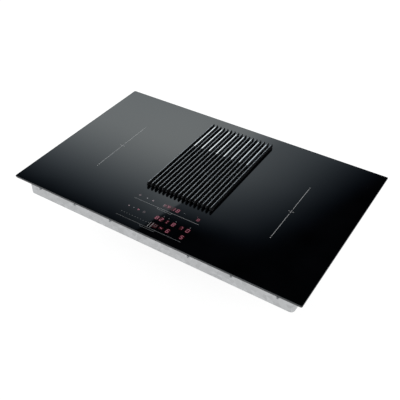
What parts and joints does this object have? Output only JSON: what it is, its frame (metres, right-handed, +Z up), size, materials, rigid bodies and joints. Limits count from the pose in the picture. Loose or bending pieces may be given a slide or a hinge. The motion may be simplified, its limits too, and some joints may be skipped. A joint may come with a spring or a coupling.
{
  "type": "downdraft induction cooktop",
  "caption": "Black glass induction hob with a central bar grille that draws air down through a grease filter into a blower below.",
  "frame": {"origin": "below the middle of the glass, level with the underside of the blower housing", "axes": "+X to the user's right along the long side of the glass, +Y to the back, +Z up"},
  "size_m": [0.83, 0.52, 0.2224],
  "materials": {
    "black_glass": "polished black ceramic glass",
    "seal_foam": "closed-cell foam",
    "black_enamel": "satin black enamel on steel",
    "polished_steel": "polished stainless steel",
    "silicone": "matte silicone",
    "galvanised_sheet": "galvanised sheet steel",
    "black_plastic": "fine-grained moulded plastic",
    "grey_plastic": "fine-grained moulded plastic",
    "white_plastic": "moulded plastic",
    "spring_steel": "spring steel strip",
    "coil_copper": "enamelled copper litz wire on a plastic carrier",
    "aluminium_sheet": "mill finish",
    "circuit_board": "green solder resist",
    "stainless_steel": "brushed",
    "motor_steel": "laminated electrical steel"
  },
  "bodies": {
    "cooktop_body": {"cable_gland": "black_plastic", "casing_tray": "galvanised_sheet", "coil_plate_left": "aluminium_sheet", "coil_plate_right": "aluminium_sheet", "fan_housing_left": "black_plastic", "fan_housing_right": "black_plastic", "filter_well": "black_plastic", "fixing_spring_1": "spring_steel", "fixing_spring_2": "spring_steel", "fixing_spring_3": "spring_steel", "fixing_spring_4": "spring_steel", "glass_seal": "seal_foam", "glass_top": "black_glass", "heat_sink_left": "aluminium_sheet", "heat_sink_right": "aluminium_sheet", "induction_coil_front_left": "coil_copper", "induction_coil_front_right": "coil_copper", "induction_coil_rear_left": "coil_copper", "induction_coil_rear_right": "coil_copper", "inlet_nozzle": "black_plastic", "motor_bearing_lower": "polished_steel", "motor_bearing_upper": "polished_steel", "motor_stator": "motor_steel", "outlet_spigot": "grey_plastic", "plenum": "grey_plastic", "power_board_left": "circuit_board", "power_board_right": "circuit_board", "scroll_lower": "black_plastic", "scroll_screw_1": "stainless_steel", "scroll_screw_2": "stainless_steel", "scroll_screw_3": "stainless_steel", "scroll_screw_4": "stainless_steel", "scroll_upper": "black_plastic", "terminal_block": "white_plastic", "touch_board": "circuit_board", "touch_board_carrier": "grey_plastic"},
    "overflow_tray_body": {"overflow_tray": "black_plastic"},
    "grease_filter": {"filter_frame": "stainless_steel", "filter_mesh": "stainless_steel", "filter_handle": "stainless_steel"},
    "air_grille": {"grille": "black_enamel", "grille_foot_1": "silicone", "grille_foot_2": "silicone", "grille_foot_3": "silicone", "grille_foot_4": "silicone", "grille_inlay_1": "polished_steel", "grille_inlay_2": "polished_steel", "grille_inlay_3": "polished_steel", "grille_inlay_4": "polished_steel", "grille_inlay_5": "polished_steel", "grille_inlay_6": "polished_steel", "grille_inlay_7": "polished_steel", "grille_inlay_8": "polished_steel"},
    "blower_wheel": {"impeller": "black_plastic", "motor_shaft": "polished_steel"},
    "left_fan": {"fan_rotor_left": "grey_plastic"},
    "right_fan": {"fan_rotor_right": "grey_plastic"},
    "upper_flap": {"flap_leaf_upper": "white_plastic"},
    "lower_flap": {"flap_leaf_lower": "white_plastic"}
  },
  "joints": [
    {"name": "overflow_tray_lift", "type": "slide", "parent": "cooktop_body", "child": "overflow_tray_body", "axis": [0, 0, 1], "range_m": [0, 0.125]},
    {"name": "grease_filter_lift", "type": "slide", "parent": "overflow_tray_body", "child": "grease_filter", "axis": [0, 0, 1], "range_m": [0, 0.07]},
    {"name": "grille_lift", "type": "slide", "parent": "grease_filter", "child": "air_grille", "axis": [0, 0, 1], "range_m": [0, 0.04]},
    {"name": "blower_spin", "type": "hinge", "parent": "cooktop_body", "child": "blower_wheel", "pos_m": [0, 0.0543, 0.05], "axis": [0, 0, 1], "continuous": true},
    {"name": "left_fan_spin", "type": "hinge", "parent": "cooktop_body", "child": "left_fan", "pos_m": [-0.261, 0.112, 0.16], "axis": [0, 0, 1], "continuous": true},
    {"name": "right_fan_spin", "type": "hinge", "parent": "cooktop_body", "child": "right_fan", "pos_m": [0.261, 0.112, 0.16], "axis": [0, 0, 1], "continuous": true},
    {"name": "upper_flap_swing", "type": "hinge", "parent": "cooktop_body", "child": "upper_flap", "pos_m": [0.0415, 0.1993, 0.0867], "axis": [1, 0, 0], "range_deg": [0, 75]},
    {"name": "lower_flap_swing", "type": "hinge", "parent": "cooktop_body", "child": "lower_flap", "pos_m": [0.0415, 0.1993, 0.0457], "axis": [1, 0, 0], "range_deg": [0, 75]}
  ]
}
